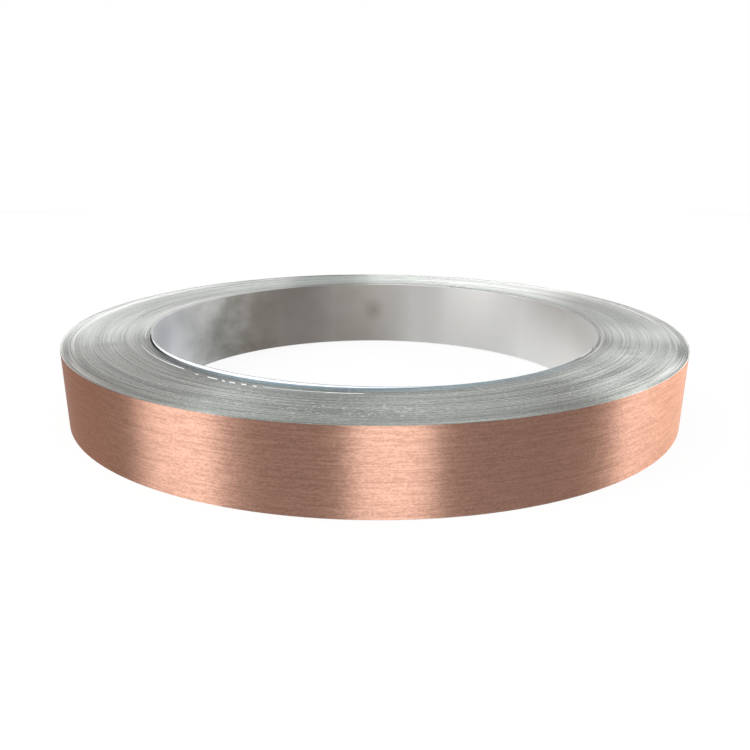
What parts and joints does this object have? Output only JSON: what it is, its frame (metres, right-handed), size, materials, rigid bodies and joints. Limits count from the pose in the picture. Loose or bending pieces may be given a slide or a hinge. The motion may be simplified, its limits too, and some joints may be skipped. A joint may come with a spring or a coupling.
{
  "type": "coil of stainless steel strip",
  "caption": "Flat-lying coil of narrow stainless steel strip with a round open bore, copper-coloured brushed outer face and bare slit edges.",
  "frame": {"origin": "on the coil's axis, at the level of the floor that its lowest turns stand on", "axes": "+Z along the coil's axis, upwards; the innermost turn stands proud between -X and -Y"},
  "size_m": [0.4218, 0.4218, 0.0528],
  "materials": {
    "bare_steel": "satin mill finish, slit edges",
    "copper_coating": "fine hairline brushing along the strip, copper colour",
    "protective_film": "thin white film, slightly glossy"
  },
  "bodies": {
    "root": {"strip_coil": "bare_steel"}
  },
  "joints": []
}
